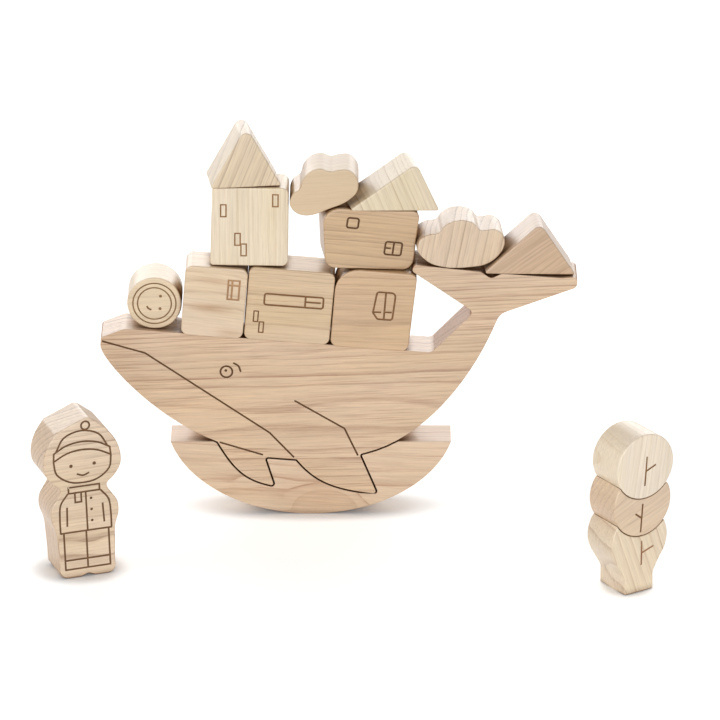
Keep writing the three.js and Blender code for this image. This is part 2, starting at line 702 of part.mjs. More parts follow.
// Sun: two rings and a small face that looks to the right
const sunSmile = [[-0.134, -0.062], [-0.104, -0.105], [-0.047, -0.128]].map(([u, v]) => {
  return [u * SUN_DIAMETER, v * SUN_DIAMETER];
});
const sunMarks = [
  loop(circle(0, 0, SUN_DIAMETER * 0.395, 40), FINE_WIDTH),
  loop(circle(0, 0, SUN_DIAMETER * 0.31, 36), FINE_WIDTH),
  dot(SUN_DIAMETER * 0.1, SUN_DIAMETER * 0.153, 1.1),
  dot(SUN_DIAMETER * 0.109, -SUN_DIAMETER * 0.093, 1.1),
  stroke(...smooth(sunSmile)),
];
deck.add(setDown(piece('sun_disc', engraved(sawn(sunOutline), sunMarks), 0xe3cba4), sunPlace));

// Houses of the row, with their windows placed from the right side or from the left
const tallWindow = { x: LEFT_HOUSE_WIDTH - 13.1, y: 29.1, width: 7.8, height: 14 };
const tallBar = tallWindow.x + 2.8;
const tallCrossbar = tallWindow.y + 10.3;
const leftHouseMarks = [
  casement(tallWindow),
  stroke([tallBar, tallWindow.y], [tallBar, tallWindow.y + tallWindow.height]),
  stroke([tallWindow.x, tallCrossbar], [tallWindow.x + tallWindow.width, tallCrossbar]),
];
deck.add(setDown(
  piece('left_house', engraved(sawn(leftHouseOutline), leftHouseMarks), 0xe0c7a2),
  leftHousePlace,
));

const longWindow = { x: 12.4, y: 26.9, width: 41, height: 8.2, soft: SOFT_CORNER };
const longBar = longWindow.x + 28.5;
const longCrossbar = longWindow.y + longWindow.height / 2;
const middleHouseMarks = [
  casement(longWindow),
  stroke([longBar, longWindow.y], [longBar, longWindow.y + longWindow.height]),
  stroke([longBar, longCrossbar], [longWindow.x + longWindow.width - BAR_BREAK, longCrossbar]),
  ...panePair(5.9, 13.7, HOUSE_PANE_WIDTH, HOUSE_PANE_HEIGHT),
];
deck.add(setDown(
  piece('middle_house', engraved(sawn(middleHouseOutline), middleHouseMarks), 0xdcc09a),
  middleHousePlace,
));

const gardenWindow = {
  left: RIGHT_HOUSE_WIDTH - 28.6,
  right: RIGHT_HOUSE_WIDTH - 13.8,
  low: 22.8,
  high: 43,
};
const gardenWindowOutline = roundedOutline([
  corner(gardenWindow.left + 3.4, gardenWindow.low, 2),
  corner(gardenWindow.right - 1, gardenWindow.low, 2),
  corner(gardenWindow.right, gardenWindow.high, 3),
  corner(gardenWindow.left + 1.8, gardenWindow.high, 2),
  corner(gardenWindow.left, gardenWindow.low + 4.6, 1.5),
]);
const gardenBar = (gardenWindow.left + gardenWindow.right) / 2;
const rightHouseMarks = [
  loop(gardenWindowOutline),
  stroke([gardenBar + 0.5, gardenWindow.low], [gardenBar + 0.5, gardenWindow.high]),
  stroke([gardenWindow.left + 0.6, gardenWindow.low + 5], [gardenBar - BAR_BREAK, gardenWindow.low + 5.3]),
  stroke([gardenBar + 1, gardenWindow.low + 5.5], [gardenWindow.right - BAR_BREAK, gardenWindow.low + 5.7]),
];
deck.add(setDown(
  piece('right_house', engraved(sawn(rightHouseOutline), rightHouseMarks), 0xd3ab7e),
  rightHousePlace,
));

// Tower and its roof
const towerLeft = -TOWER_WIDTH / 2;
const towerMarks = [
  pane(towerLeft + 7.2, 36.4, TOWER_PANE_WIDTH, TOWER_PANE_HEIGHT),
  pane(TOWER_WIDTH / 2 - 10.9, 44.2, TOWER_PANE_WIDTH, TOWER_PANE_HEIGHT),
  ...panePair(towerLeft + 17.1, 15.4, TOWER_PANE_WIDTH, TOWER_PANE_HEIGHT),
];
deck.add(setDown(piece('tower_block', engraved(sawn(towerOutline), towerMarks), 0xe6cfa6), towerPlace));
deck.add(setDown(piece('tower_roof', sawn(towerRoofOutline), 0xdec29b), towerRoofPlace));

// Upper house, its roof and the cloud
const upperLeft = -UPPER_HOUSE_WIDTH / 2;
const upperRight = UPPER_HOUSE_WIDTH / 2;
const hatch = {
  x: upperLeft + 10.4,
  y: UPPER_HOUSE_HEIGHT - 14.7,
  width: 7.9,
  height: 7.3,
  soft: SOFT_CORNER,
};
const bay = { x: upperRight - 21.7, y: 12.2, width: 11.7, height: 9.4, soft: SOFT_CORNER };
const upperHouseMarks = [
  casement(hatch),
  casement(bay),
  stroke([bay.x + bay.width / 2, bay.y], [bay.x + bay.width / 2, bay.y + bay.height]),
  stroke([bay.x, bay.y + bay.height / 2], [bay.x + bay.width / 2 - BAR_BREAK, bay.y + bay.height / 2]),
].map((mark) => mark.rotateY(UPPER_WINDOW_SLANT));
deck.add(setDown(
  piece('upper_house', engraved(sawn(upperHouseOutline), upperHouseMarks), 0xd6b187),
  upperHousePlace,
));
deck.add(setDown(piece('upper_roof', sawn(upperRoofOutline), 0xe8d4ac), upperRoofPlace));
deck.add(setDown(piece('cloud_block', sawn(cloudOutline), 0xdcc09c), cloudPlace));

// Blocks on the tail
deck.add(setDown(piece('bush_block', sawn(bushOutline), 0xe0c49a), bushPlace));
deck.add(setDown(piece('tail_roof', sawn(tailRoofOutline), 0xcfa77c), tail.roofPlace));

// Child: a block with a soft outline, in shares of half its width and of its height
function childAt([u, v]) {
  return [(u * CHILD_WIDTH) / 2 - (v - 0.5) * CHILD_SWAY, v * CHILD_HEIGHT];
}

function mirrored(points) {
  return points.map(([u, v]) => [-u, v]);
}

const childSide = [
  [0.72, 0.1], [0.74, 0.2], [0.77, 0.3], [0.87, 0.38], [0.85, 0.45], [0.6, 0.56], [0.8, 0.61],
  [0.97, 0.67], [1.0, 0.74], [0.89, 0.83], [0.63, 0.92],
];
const childRight = smooth(childSide.map(childAt));
const childLeft = smooth(mirrored(childSide).map(childAt)).reverse();
const childOutline = roundedOutline([
  corner(...childAt([0, 0.018]), 2.5),
  corner(...childAt([0.18, 0]), 3),
  corner(...childAt([0.72, 0]), 9),
  ...childRight,
  corner(...childAt([0.2, 1]), 5),
  ...childLeft,
  corner(...childAt([-0.72, 0]), 9),
  corner(...childAt([-0.18, 0]), 3),
]);

// Its drawing: a bobble hat, a round face, a scarf, a buttoned coat and boots
function childLine(...shares) {
  return stroke(...shares.map(childAt));
}

function childCurve(...shares) {
  return stroke(...smooth(shares.map(childAt), false, 4));
}

function childDot(u, v, radius) {
  return dot(...childAt([u, v]), radius);
}

const childMarks = [
  childCurve([-0.74, 0.745], [-0.4, 0.785], [0, 0.8], [0.4, 0.785], [0.74, 0.745]),
  childCurve([-0.72, 0.795], [-0.4, 0.835], [0, 0.85], [0.4, 0.835], [0.72, 0.795]),
  childLine([-0.74, 0.742], [-0.72, 0.798]),
  childLine([0.74, 0.742], [0.72, 0.798]),
  childCurve([-0.66, 0.806], [-0.45, 0.885], [0, 0.918], [0.45, 0.885], [0.66, 0.806]),
  loop(circle(...childAt([0.12, 0.947]), 3, 16)),
  childCurve(
    [-0.74, 0.742],
    [-0.68, 0.665],
    [-0.36, 0.607],
    [0, 0.594],
    [0.36, 0.607],
    [0.68, 0.665],
    [0.74, 0.742],
  ),
  childDot(-0.3, 0.705, 1.3),
  childDot(0.3, 0.705, 1.3),
  childCurve([-0.16, 0.652], [0, 0.639], [0.16, 0.652]),
  childLine([-0.4, 0.572], [0.4, 0.572], [0.4, 0.535], [-0.4, 0.535], [-0.4, 0.576]),
  childLine([-0.24, 0.535], [-0.24, 0.475], [-0.08, 0.475], [-0.08, 0.535]),
  childCurve([-0.42, 0.535], [-0.62, 0.47], [-0.66, 0.38], [-0.66, 0.29]),
  childCurve([0.42, 0.535], [0.62, 0.47], [0.66, 0.38], [0.66, 0.29]),
  childLine([-0.67, 0.29], [0.67, 0.29]),
  childLine([0.04, 0.535], [0.04, 0.29]),
  ...[0.49, 0.42, 0.35].map((v) => childDot(0.17, v, 1)),
  childLine([-0.46, 0.45], [-0.48, 0.33]),
  childLine([0.46, 0.45], [0.48, 0.33]),
  childLine([0, 0.29], [0, 0.06]),
  childLine([-0.58, 0.29], [-0.58, 0.06]),
  childLine([0.58, 0.29], [0.58, 0.06]),
  childLine([-0.6, 0.115], [0.6, 0.115]),
  childLine([-0.6, 0.057], [0.6, 0.057]),
];
const child = piece('child_figure', engraved(sawn(childOutline), childMarks), 0xdab98f);
child.position.set(CHILD_X, CHILD_Y, 0);
child.rotation.z = CHILD_YAW;

// Tree: a disc that nests in a bowl that nests in the trunk. Heights are from the lowest crown's
// middle, along the line on which the upper crowns lean.
function nestOutline(z, radius, aboveRadius, lower) {
  const hollow = aboveRadius + REST_GAP;
  const aboveZ = z + TREE_STEP;
  const rise = (TREE_STEP ** 2 + radius ** 2 - hollow ** 2) / (2 * TREE_STEP);
  const horn = Math.asin(rise / radius);
  const rim = Math.asin((rise - TREE_STEP) / hollow);
  const rightSide = arc(0, z, radius, lower, horn, CIRCLE_STEPS / 3);
  const hollowEdge = arc(0, aboveZ, hollow, rim, -Math.PI - rim, CIRCLE_STEPS / 2);
  const leftSide = arc(0, z, radius, Math.PI - horn, Math.PI - lower, CIRCLE_STEPS / 3);
  return [...rightSide, ...hollowEdge.slice(1, -1), ...leftSide];
}

const topRadius = TREE_TOP_DIAMETER / 2;
const middleRadius = TREE_MIDDLE_DIAMETER / 2;
const topOutline = circle(0, 2 * TREE_STEP, topRadius);
const middleOutline = nestOutline(TREE_STEP, middleRadius, topRadius, -Math.PI / 2).slice(1);
const trunkHead = nestOutline(0, TREE_BASE_DIAMETER / 2, middleRadius, -Math.PI / 5);
const trunkOutline = roundedOutline([
  corner(-TREE_STEM_WIDTH / 2, TREE_STEM_HEIGHT, 8),
  corner(-TREE_STEM_WIDTH / 2, 0, 1),
  corner(TREE_STEM_WIDTH / 2, 0, 1),
  corner(TREE_STEM_WIDTH / 2, TREE_STEM_HEIGHT, 8),
  ...placed(trunkHead, { x: 0, z: TREE_BASE_RISE, angle: -TREE_LEAN }),
]);

// A twig: a stem and one branch, from the foot of the stem.
function twig(x, z, height, branch) {
  return [
    stroke([x, z], [x, z + height]),
    stroke([x, z + height * 0.5], [x + branch, z + height * 0.68]),
  ];
}

const topMarks = twig(0.5, 2 * TREE_STEP - topRadius * 0.6, topRadius * 0.91, 8);
const middleMarks = twig(0, TREE_STEP - middleRadius * 0.88, middleRadius * 0.88, -5.5);
const trunkMarks = twig(1.5, TREE_BASE_RISE - 18.4, 17.8, 10);
const crowns = new THREE.Group();
crowns.add(piece('tree_crown_middle', engraved(sawn(middleOutline), middleMarks), 0xdab990));
crowns.add(piece('tree_crown_top', engraved(sawn(topOutline), topMarks), 0xe6d2a8));
crowns.position.z = TREE_BASE_RISE;
crowns.rotation.y = TREE_LEAN;

const tree = new THREE.Group();
tree.add(piece('tree_trunk', engraved(sawn(trunkOutline), trunkMarks), 0xe2c79c), crowns);
tree.position.set(TREE_X, TREE_Y, 0);
tree.rotation.z = TREE_YAW;

const game = new THREE.Group();
game.add(rocker, deck, child, tree);

export default game;
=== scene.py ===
# %% [markdown]
# # A wooden whale that carries a town
#
# This lesson dresses a balance game made of solid ash: a whale that stands in a rocker, a town of loose
# blocks on its back, a child and a tree. The solids come from a CAD frame, at their real size and place.
# Here they get what a workshop and a photographer would give them: sanded edges, burnt lines, the grain
# of real boards, and soft light on a white table.

# %% Load the sawn pieces
import json
from math import cos, pi, radians, sin

import bmesh
import bpy
from mathutils import Matrix, Vector


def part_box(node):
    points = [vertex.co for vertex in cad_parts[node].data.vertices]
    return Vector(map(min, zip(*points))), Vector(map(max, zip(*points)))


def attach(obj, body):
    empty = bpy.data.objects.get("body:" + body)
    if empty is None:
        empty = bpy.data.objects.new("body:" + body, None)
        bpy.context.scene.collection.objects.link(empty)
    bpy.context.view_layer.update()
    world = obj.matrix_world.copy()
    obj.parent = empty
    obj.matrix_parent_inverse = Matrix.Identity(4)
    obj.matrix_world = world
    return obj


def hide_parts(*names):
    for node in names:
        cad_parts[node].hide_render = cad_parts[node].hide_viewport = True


MM = 0.001

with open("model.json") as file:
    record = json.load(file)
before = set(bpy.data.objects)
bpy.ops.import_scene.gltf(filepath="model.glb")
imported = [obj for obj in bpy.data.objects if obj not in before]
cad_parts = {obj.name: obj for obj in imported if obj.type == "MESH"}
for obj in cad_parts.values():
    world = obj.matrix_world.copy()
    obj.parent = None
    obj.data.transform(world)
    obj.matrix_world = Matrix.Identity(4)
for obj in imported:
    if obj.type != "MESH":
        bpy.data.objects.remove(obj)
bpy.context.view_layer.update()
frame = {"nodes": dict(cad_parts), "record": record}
print("pieces in the frame:", sorted(frame["nodes"]))

# %% [markdown]
# ## Camera
#
# The picture was taken from a few metres away with a long lens, so lines that run away from the viewer
# stay almost parallel. A short lens close by would show the same town with swollen front faces. The
# camera therefore stands far off, looks down a little, and is neither turned nor shifted.

# %% Set up the camera
LENS = 300
SENSOR = 36
LOOK_DOWN = radians(22)
CAMERA_PLACE = Vector((34.5, -3898, 1685.6)) * MM

camera_data = bpy.data.cameras.new("long_lens")
camera_data.lens = LENS
camera_data.sensor_width = SENSOR
camera = bpy.data.objects.new("long_lens", camera_data)
camera.location = CAMERA_PLACE
camera.rotation_euler = (pi / 2 - LOOK_DOWN, 0, 0)
bpy.context.scene.collection.objects.link(camera)
bpy.context.scene.camera = camera
bpy.context.scene.view_settings.view_transform = "Standard"
print("camera stands", round(camera.location.length, 2), "m from the rocker's foot")

# %% [markdown]
# ## Node helper
#
# Every material below is a small network of nodes. Writing each one out by hand buries the idea under
# socket names, so this helper adds a node, sets or links its inputs by name, and hands back the node.


# %% Add a node with its inputs
def add_node(tree, kind, settings=None, **inputs):
    node = tree.nodes.new(kind)
    for name, value in (settings or {}).items():
        setattr(node, name, value)
    for name, value in inputs.items():
        socket = node.inputs[int(name[1:])] if name[0] == "_" else node.inputs[name.replace("_", " ")]
        if isinstance(value, bpy.types.NodeSocket):
            tree.links.new(value, socket)
        else:
            socket.default_value = value
    return node


def math_node(tree, operation, first, second=0.0):
    return add_node(tree, "ShaderNodeMath", {"operation": operation}, _0=first, _1=second).outputs[0]


def new_material(name):
    material = bpy.data.materials.new(name)
    material.use_nodes = True
    material.node_tree.nodes.clear()
    return material


def linear(hex_colour):
    """A colour written as on a paint card, in the linear numbers that the shader wants."""
    shares = [int(hex_colour[i:i + 2], 16) / 255 for i in (1, 3, 5)]
    return [c / 12.92 if c <= 0.04045 else ((c + 0.055) / 1.055) ** 2.4 for c in shares] + [1.0]


print("ash, as a paint card names it:", [round(c, 3) for c in linear("#d9b994")])

# %% [markdown]
# ## Table and sky
#
# A catalogue picture stands on paper that is so well lit that it turns white. Turning the lamps up until
# the paper clips would also bleach the wood. So what the camera sees of the sky is plain white, and the
# light that the sky gives is a separate, lower number. The paper is a real surface, because the soft
# shadows at the feet have to land somewhere. It also glows a little for the camera, so that it fades to
# white a short way from each foot, and it ends before it reaches the lamp behind the town.

# %% Make the sky
SKY_LIGHT = 0.36
SEEN_WHITE = 1.0


def seen_directly(tree):
    """1 where the camera, a reflection or glass looks straight at the surface."""
    path = add_node(tree, "ShaderNodeLightPath")
    seen = math_node(tree, "MAXIMUM", path.outputs["Is Camera Ray"], path.outputs["Is Glossy Ray"])
    return math_node(tree, "MAXIMUM", seen, path.outputs["Is Transmission Ray"])


sky = bpy.data.worlds.new("white_sky")
bpy.context.scene.world = sky
sky.use_nodes = True
sky.node_tree.nodes.clear()
sky_strength = add_node(
    sky.node_tree,
    "ShaderNodeMix",
    Factor=seen_directly(sky.node_tree),
    _2=SKY_LIGHT,
    _3=SEEN_WHITE,
).outputs[0]
sky_glow = add_node(sky.node_tree, "ShaderNodeBackground", Color=(1, 1, 1, 1), Strength=sky_strength)
add_node(sky.node_tree, "ShaderNodeOutputWorld", Surface=sky_glow.outputs[0])
print("sky gives", SKY_LIGHT, "and looks like", SEEN_WHITE)

# %% Make the table
TABLE_HALF_WIDTH = 1.3
TABLE_COLOUR = (0.97, 0.97, 0.97, 1)
TABLE_GLOW = 0.45
FOOT_GLOW = 0.02
# The oval of shadow at each foot, in shares of the piece's half width and half depth
FOOT_SHADOWS = {"rocker_base": (0.6, 1.2), "child_figure": (0.7, 0.75), "tree_trunk": (0.45, 0.55)}
SHADOW_END = 1.8

table_shape = bmesh.new()
bmesh.ops.create_grid(table_shape, x_segments=1, y_segments=1, size=TABLE_HALF_WIDTH)
table_mesh = bpy.data.meshes.new("table")
table_shape.to_mesh(table_mesh)
table_shape.free()
table = bpy.data.objects.new("table", table_mesh)
bpy.context.scene.collection.objects.link(table)


def fade_out(tree, place, middle, half_size, start, end):
    """1 inside an oval, 0 outside. It fades between two distances, counted in sizes of the oval."""
    shares = [1 / size if size else 0 for size in half_size]
    oval = add_node(
        tree,
        "ShaderNodeMapping",
        Vector=place,
        Location=[-at * share for at, share in zip(middle, shares)],
        Scale=shares,
    )
    reach = add_node(tree, "ShaderNodeVectorMath", {"operation": "LENGTH"}, _0=oval.outputs[0])
    settings = {"interpolation_type": "SMOOTHSTEP"}
    limits = {"From_Min": start, "From_Max": end, "To_Min": 1.0, "To_Max": 0.0}
    return add_node(tree, "ShaderNodeMapRange", settings, Value=reach.outputs["Value"], **limits).outputs[0]


paper = new_material("white_paper")
tree = paper.node_tree
spot = add_node(tree, "ShaderNodeTexCoord").outputs["Object"]
near_foot = 0.0
for node_name, (along, across) in FOOT_SHADOWS.items():
    low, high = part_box(node_name)
    middle, half = (low + high) / 2, (high - low) / 2
    near = fade_out(tree, spot, middle, (half.x * along, half.y * across, 0), 1.0, SHADOW_END)
    near_foot = math_node(tree, "MAXIMUM", near_foot, near)
paper_glow = add_node(tree, "ShaderNodeMapRange", Value=near_foot, To_Min=TABLE_GLOW, To_Max=FOOT_GLOW)
seen_glow = math_node(tree, "MULTIPLY", seen_directly(tree), paper_glow.outputs[0])
glow = add_node(tree, "ShaderNodeEmission", Color=(1, 1, 1, 1), Strength=seen_glow)
matt = add_node(tree, "ShaderNodeBsdfDiffuse", Color=TABLE_COLOUR)
paper_look = add_node(tree, "ShaderNodeAddShader", _0=matt.outputs[0], _1=glow.outputs[0])
add_node(tree, "ShaderNodeOutputMaterial", Surface=paper_look.outputs[0])
table_mesh.materials.append(paper)
print("table is", 2 * TABLE_HALF_WIDTH, "m wide")

# %% [markdown]
# ## Softboxes
#
# The tops of the blocks are nearly white, the fronts are even, and the left sides are a little lighter
# than the fronts. More light from above would only turn the tops orange. A wide softbox low behind the
# town does it better: it skims over the tops towards the camera, and their wax takes the colour out.
# One as wide in front fills the faces, and a small one lights the left sides. The two large ones are wide
# rather than strong, so that the tops aren't bleached when the game is seen from behind.

# %% Hang the softboxes
TOWN_MIDDLE = Vector((0.02, 0, 0.14))


def softbox(name, place, width, height, power):
    data = bpy.data.lights.new(name, "AREA")
    data.shape = "RECTANGLE"
    data.size = width
    data.size_y = height
    data.energy = power
    lamp = bpy.data.objects.new(name, data)
    lamp.location = place
    lamp.rotation_euler = (TOWN_MIDDLE - Vector(place)).to_track_quat("-Z", "Y").to_euler()
    lamp.visible_camera = False
    bpy.context.scene.collection.objects.link(lamp)
    print(name, "at", place, "with", power, "W")


softbox("back_softbox", (0.0, 2.1, 0.85), 3.8, 1.5, 40)
softbox("front_softbox", (0.3, -2.6, 0.8), 3.6, 1.6, 38)
softbox("left_softbox", (-1.8, -0.4, 0.9), 1.2, 1.2, 7)

# %% [markdown]
# ## From sawn solid to sanded block
#
# A sawn block has edges that would cut a child's hand, so each one is sanded round along the rim of its
# two faces. A Bevel modifier on the whole block would also round the engraved lines away. Here the rim
# is picked out first: it is where a face of the board meets the sawn side. The lines that a burner drew
# are picked out as well, before anything is rounded, because they get a finish of their own.

# %% Find the faces of the board
SAME_POINT = 2e-6
FLAT = radians(0.2)
BURNT = 1
BOARD = 30 * MM
ENGRAVE_DEPTH = 0.8 * MM
BELOW_FACE = 20 * SAME_POINT
LINE_LIMIT = 1.5 * ENGRAVE_DEPTH
LOOKS_FORWARD = 0.97
SQUARE_TO_BOARD = 0.99


def merged_copy(node_name):
    """The node's loose triangles as one skin of flat faces."""
    shape = bmesh.new()
    shape.from_mesh(frame["nodes"][node_name].data)
    bmesh.ops.remove_doubles(shape, verts=shape.verts, dist=SAME_POINT)
    bmesh.ops.dissolve_limit(shape, angle_limit=FLAT, verts=shape.verts, edges=shape.edges)
    return shape


def board_axis(shape, yaw):
    """The way through the board, from its engraved face to its back."""
    rough = Vector((-sin(yaw), cos(yaw), 0))
    fronts = [f for f in shape.faces if f.normal.dot(rough) < -LOOKS_FORWARD]
    return -max(fronts, key=lambda f: f.calc_area()).normal


def burnt_faces(shape, through):
    """Floors and walls of the engraved lines: what lies just under the front face."""
    front = min(v.co.dot(through) for v in shape.verts)
    found = []
    for face in shape.faces:
        depths = [v.co.dot(through) - front for v in face.verts]
        if BELOW_FACE < max(depths) < LINE_LIMIT:
            found.append(face)
    return found


def rim_edges(shape, through):
    """Edges where a face of the board meets the sawn side."""
    def is_side(face):
        depths = [v.co.dot(through) for v in face.verts]
        return max(depths) - min(depths) > BOARD / 2

    def is_face(face):
        return abs(face.normal.dot(through)) > SQUARE_TO_BOARD

    rim = []
    for edge in shape.edges:
        pair = edge.link_faces
        if len(pair) == 2 and (
            is_side(pair[0]) and is_face(pair[1]) or is_side(pair[1]) and is_face(pair[0])
        ):
            rim.append(edge)
    return rim


whale_shape = merged_copy("whale_body")
whale_rim = rim_edges(whale_shape, Vector((0, 1, 0)))
print("whale:", len(whale_shape.faces), "faces,", len(whale_rim), "rim edges")
whale_shape.free()

# %% Sand the rim and hang the block in its place
SANDING_STEPS = 3
CREASE = radians(38)


def sanded_block(node_name, body, yaw, rim, materials):
    shape = merged_copy(node_name)
    through = board_axis(shape, yaw)
    lines = burnt_faces(shape, through)
    for face in lines:
        face.material_index = BURNT
    edges = rim_edges(shape, through)
    bmesh.ops.bevel(
        shape,
        geom=edges,
        offset=rim,
        offset_type="OFFSET",
        affect="EDGES",
        segments=SANDING_STEPS,
        profile=0.5,
        material=-1,
        clamp_overlap=False,
    )
    mesh = bpy.data.meshes.new(node_name + "_sanded")
    shape.to_mesh(mesh)
    shape.free()
    mesh.shade_smooth()
    mesh.set_sharp_from_angle(angle=CREASE)
    for material in materials:
        mesh.materials.append(material)
    block = bpy.data.objects.new(node_name + "_sanded", mesh)
    bpy.context.scene.collection.objects.link(block)
    even = block.modifiers.new("even_shading", "WEIGHTED_NORMAL")
    even.keep_sharp = True
    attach(block, body)
    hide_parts(node_name)
    print(block.name, len(mesh.polygons), "faces,", len(lines), "burnt,", len(edges), "rim edges")
    return block


# %% [markdown]
# ## Ash
#
# Ash has wide growth rings. Each starts with a porous band that looks brown and ends in dense, pale wood.
# A picture stretched over the block would break at every edge. A solid texture doesn't: it gives each
# point inside the block its distance from the heart of the tree, and the saw shows whatever it meets.
# A block's grain is then a matter of how the block lay in the trunk: the angle of the stripes on its
# front, and how far the rings lean from running straight through the board to lying flat in it.

# %% Lay the block in the trunk
def lie_in_trunk(tree, middle, yaw, grain, lean):
    """Millimetres along the fibre, across the rings and along the rings, from the block's middle."""
    right = Vector((cos(yaw), sin(yaw), 0))
    through = Vector((-sin(yaw), cos(yaw), 0))
    up = Vector((0, 0, 1))
    fibre = cos(grain) * right + sin(grain) * up
    across = cos(lean) * (cos(grain) * up - sin(grain) * right) + sin(lean) * through
    turn = Matrix((fibre, across, fibre.cross(across))).transposed().to_euler()
    place = add_node(tree, "ShaderNodeTexCoord").outputs["Object"]
    laid = add_node(
        tree,
        "ShaderNodeMapping",
        {"vector_type": "TEXTURE"},
        Vector=place,
        Location=middle,
        Rotation=turn,
        Scale=(MM, MM, MM),
    )
    return laid.outputs[0]


def streaks(tree, laid, kind, shift):
    """Noise drawn out along the fibre. A kind is a streak's length and width in mm, and its detail."""
    length, width, detail = kind
    drawn = add_node(
        tree,
        "ShaderNodeMapping",
        Vector=laid,
        Location=(shift, shift, shift),
        Scale=(1 / length, 1 / width, 1 / width),
    )
    return add_node(tree, "ShaderNodeTexNoise", Vector=drawn.outputs[0], Scale=1.0, Detail=detail)


print("one unit of the grain is", MM, "m")


# %% Grow the rings
NOISE_MIDDLE = (0.5, 0.5, 0.5)
WAVE_DETAIL = 2.0
WAVE_SPREAD = 4
WEATHER_PACE = 0.43
WEATHER_SWING = 1.6
WEAK_YEAR = 0.3
RING_START = 1.0
RING_PROFILE = ((0.07, 0.8), (0.16, 0.34), (0.35, 0.14), (0.7, 0.02), (0.96, 0.03))
RING_CLOSE = 0.6


def grey(value):
    return (value, value, value, 1)


def local_patch(tree, laid, along, up, length, height, strength):
    """A patch on the face of the board: its place and half size in millimetres, and its strength."""
    near = fade_out(tree, laid, (along, 0, up), (length, 0, height), 0.0, 1.0)
    return math_node(tree, "MULTIPLY", near, strength)


def wavy(tree, laid, wave, wave_length, seed):
    """The place in the trunk, swung to and fro as in a tree that never grew quite straight."""
    drift = streaks(tree, laid, (wave_length, wave_length / 3, WAVE_DETAIL), seed).outputs["Color"]
    centred = add_node(tree, "ShaderNodeVectorMath", {"operation": "SUBTRACT"}, _0=drift, _1=NOISE_MIDDLE)
    swing = add_node(
        tree,
        "ShaderNodeVectorMath",
        {"operation": "SCALE"},
        _0=centred.outputs[0],
        Scale=WAVE_SPREAD * wave,
    )
    return add_node(tree, "ShaderNodeVectorMath", _0=laid, _1=swing.outputs[0]).outputs[0]


def growth_rings(tree, laid, wood, seed):
    """How porous the wood is at each point: 1 where a ring starts, falling to 0 in its dense end."""
    from_heart = add_node(
        tree,
        "ShaderNodeVectorMath",
        {"operation": "MULTIPLY_ADD"},
        _0=wavy(tree, laid, wood["wave"], wood["wave_length"], seed),
        _1=(0, 1, 1),
        _2=(0, wood["heart"], 0),
    )
    radius = add_node(tree, "ShaderNodeVectorMath", {"operation": "LENGTH"}, _0=from_heart.outputs[0])
    radius = radius.outputs["Value"]
    for bulge in wood.get("swellings", ()):
        radius = math_node(tree, "ADD", radius, local_patch(tree, laid, *bulge))
    years = math_node(tree, "DIVIDE", radius, wood["ring"])
    weather = add_node(
        tree,
        "ShaderNodeTexNoise",
        {"noise_dimensions": "1D"},
        W=math_node(tree, "MULTIPLY_ADD", years, WEATHER_PACE),
        Scale=1.0,
        Detail=1.0,
    )
    years = math_node(tree, "ADD", years, math_node(tree, "MULTIPLY", weather.outputs[0], WEATHER_SWING))
    porous = add_node(tree, "ShaderNodeValToRGB", Fac=math_node(tree, "FRACT", years))
    stops = porous.color_ramp.elements
    stops[0].color = grey(RING_START)
    stops[1].color = grey(RING_CLOSE)
    for position, value in RING_PROFILE:
        stops.new(position).color = grey(value)
    year = math_node(tree, "FLOOR", years)
    luck = add_node(tree, "ShaderNodeTexWhiteNoise", {"noise_dimensions": "1D"}, W=year)
    strength = add_node(tree, "ShaderNodeMapRange", Value=luck.outputs["Value"], To_Min=WEAK_YEAR)
    return math_node(tree, "MULTIPLY", porous.outputs[0], strength.outputs[0])


print("a ring falls from", RING_START, "to", RING_PROFILE[3][1], "and closes at", RING_CLOSE)

# %% [markdown]
# ## Colour of the ash
#
# Rings alone look like painted stripes. On the real board the porous bands break up along the fibre, open
# pores sit in them as short dark dashes, and fine lines, fibres and broad clouds lie over everything. All
# of these are the same noise, drawn out to different lengths and widths, so one helper makes them. Where
# the saw cut across the fibre, the rings stand out more and the wood is darker.

# %% Draw the pores
PORES = (8.0, 0.55, 2.0)
BREAKS = (55.0, 2.2, 1.0)
PORE_EDGE = (0.52, 0.7)
BREAK_EDGE = (0.35, 0.55)
BREAK_LEFT = 0.5
STRAY_PORES = 0.2


def stretch(tree, value, low, high, to_low=0.0, to_high=1.0):
    """Spreads the values from low to high over another range, and cuts off what lies outside."""
    spread = add_node(
        tree,
        "ShaderNodeMapRange",
        Value=value,
        From_Min=low,
        From_Max=high,
        To_Min=to_low,
        To_Max=to_high,
    )
    return spread.outputs[0]


def porous_grain(tree, laid, wood, seed):
    """The porous bands, broken up along the fibre, and the open pores in them."""
    breaks = streaks(tree, laid, BREAKS, seed + 7).outputs[0]
    kept = stretch(tree, breaks, *BREAK_EDGE, BREAK_LEFT, 1.0)
    porous = math_node(tree, "MULTIPLY", growth_rings(tree, laid, wood, seed), kept)
    noise = streaks(tree, laid, PORES, seed).outputs[0]
    crowd = math_node(tree, "ADD", math_node(tree, "MULTIPLY", porous, 1 - STRAY_PORES), STRAY_PORES)
    pores = math_node(tree, "MULTIPLY", stretch(tree, noise, *PORE_EDGE), crowd)
    return porous, pores


print("a pore is about", PORES[0], "mm long and", PORES[1], "mm wide")

